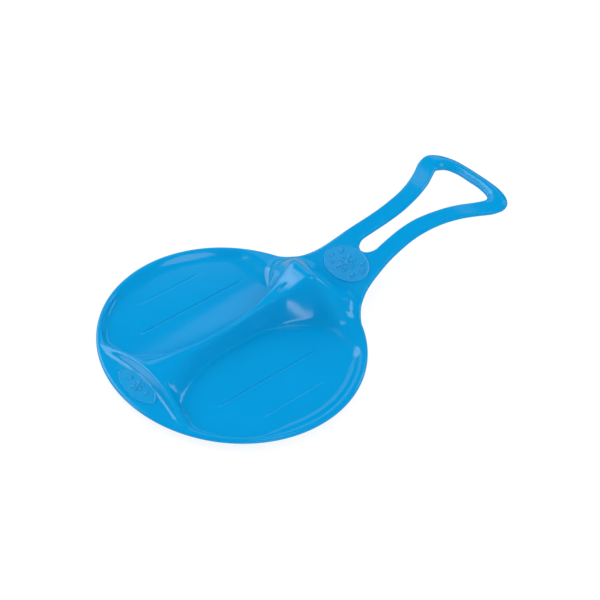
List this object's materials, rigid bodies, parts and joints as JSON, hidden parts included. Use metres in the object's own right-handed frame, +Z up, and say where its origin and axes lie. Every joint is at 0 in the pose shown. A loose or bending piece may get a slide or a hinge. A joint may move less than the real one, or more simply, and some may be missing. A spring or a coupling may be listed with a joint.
{
  "type": "paddle sled",
  "caption": "Child's paddle sled: a moulded dish seat with leg hollows, a centre ridge and a pommel, running forward into an open loop handle, that slides on pressed keels.",
  "frame": {"origin": "on the ground under the middle of the sled's outline, with the sled resting level on its keels", "axes": "+Y forward, the way the sled slides and the handle points; +Z up; +X to the right of someone who sits on it"},
  "size_m": [0.36, 0.5746, 0.065],
  "materials": {
    "seat_plastic": "glossy moulded, light blue",
    "handle_plastic": "glossy moulded, light blue",
    "front_oval_plastic": "glossy moulded, light blue",
    "rear_oval_plastic": "glossy moulded, light blue"
  },
  "bodies": {
    "root": {"seat_shell": "seat_plastic", "handle_loop": "handle_plastic", "front_oval": "front_oval_plastic", "rear_oval": "rear_oval_plastic"}
  },
  "joints": []
}
